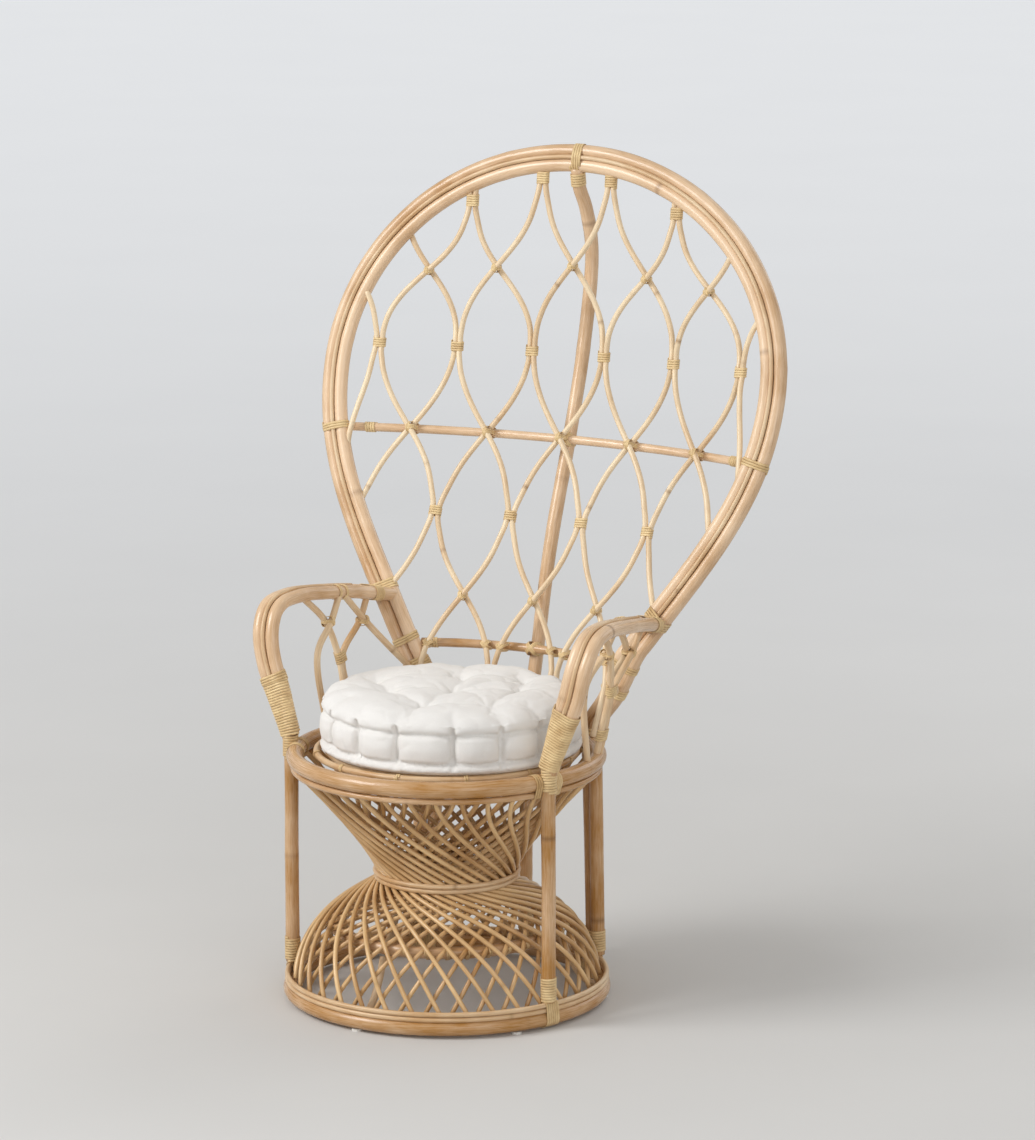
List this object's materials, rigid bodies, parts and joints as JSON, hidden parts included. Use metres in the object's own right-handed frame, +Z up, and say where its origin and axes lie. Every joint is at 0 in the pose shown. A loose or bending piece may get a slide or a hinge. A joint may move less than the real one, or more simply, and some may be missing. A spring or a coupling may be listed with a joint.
{
  "type": "peacock chair",
  "caption": "Rattan peacock chair with a tall round latticed hoop back, looped arms, a woven hourglass base on a ring and a loose round cushion.",
  "frame": {"origin": "on the floor under the middle of the chair's bounding box", "axes": "+Z up, the sitter faces -Y, +X to the right of a viewer in front of the chair"},
  "size_m": [0.9522, 0.8317, 1.4752],
  "materials": {
    "rattan_pole": "varnished honey rattan pole",
    "rattan_rod": "peeled pale rattan rod",
    "rattan_spoke": "satin rattan core spoke",
    "cane": "split cane wrapping",
    "cushion_cotton": "off-white cotton weave",
    "glide_plastic": "moulded"
  },
  "bodies": {
    "frame": {"arm_groove_rod_left": "rattan_rod", "arm_groove_rod_right": "rattan_rod", "arm_inner_pole_left": "rattan_pole", "arm_inner_pole_right": "rattan_pole", "arm_panel_rod_front_bound_left": "rattan_rod", "arm_panel_rod_front_bound_right": "rattan_rod", "arm_panel_rod_front_free_left": "rattan_rod", "arm_panel_rod_front_free_right": "rattan_rod", "arm_panel_rod_rear_bound_left": "rattan_rod", "arm_panel_rod_rear_bound_right": "rattan_rod", "arm_panel_rod_rear_free_left": "rattan_rod", "arm_panel_rod_rear_free_right": "rattan_rod", "arm_winding_left": "cane", "arm_winding_right": "cane", "back_spine": "rattan_pole", "base_ring": "rattan_pole", "base_rod_lower": "rattan_rod", "base_rod_upper": "rattan_rod", "floor_glide_1": "glide_plastic", "floor_glide_2": "glide_plastic", "floor_glide_3": "glide_plastic", "floor_glide_4": "glide_plastic", "floor_glide_5": "glide_plastic", "floor_glide_6": "glide_plastic", "front_leg_and_arm_left": "rattan_pole", "front_leg_and_arm_right": "rattan_pole", "hoop_groove_rod": "rattan_rod", "hoop_inner_pole": "rattan_pole", "hoop_outer_pole": "rattan_pole", "lattice_rod_left_front": "rattan_rod", "lattice_rod_left_rear": "rattan_rod", "lattice_rod_middle_front": "rattan_rod", "lattice_rod_middle_rear": "rattan_rod", "lattice_rod_outer_left_front": "rattan_rod", "lattice_rod_outer_left_rear": "rattan_rod", "lattice_rod_outer_right_front": "rattan_rod", "lattice_rod_outer_right_rear": "rattan_rod", "lattice_rod_right_front": "rattan_rod", "lattice_rod_right_rear": "rattan_rod", "lattice_rod_short_left": "rattan_rod", "lattice_rod_short_right": "rattan_rod", "lower_crossbar": "rattan_pole", "seat_bearer_left": "rattan_rod", "seat_bearer_right": "rattan_rod", "seat_inner_ring_inner": "rattan_rod", "seat_inner_ring_outer": "rattan_rod", "seat_ring": "rattan_pole", "seat_under_rod": "rattan_rod", "skirt_brace_1": "rattan_rod", "skirt_brace_2": "rattan_rod", "skirt_brace_3": "rattan_rod", "skirt_shoulder_ring": "rattan_pole", "upper_crossbar": "rattan_pole", "waist_rod_lower": "rattan_rod", "waist_rod_upper": "rattan_rod", "weave_spokes_inner_front": "rattan_spoke", "weave_spokes_inner_rear": "rattan_spoke", "weave_spokes_outer_front": "rattan_spoke", "weave_spokes_outer_rear": "rattan_spoke"},
    "cushion": {"seat_cushion": "cushion_cotton"}
  },
  "joints": [
    {"name": "cushion_lift", "type": "slide", "parent": "frame", "child": "cushion", "axis": [0, 0, 1], "range_m": [0, 0.3]}
  ]
}
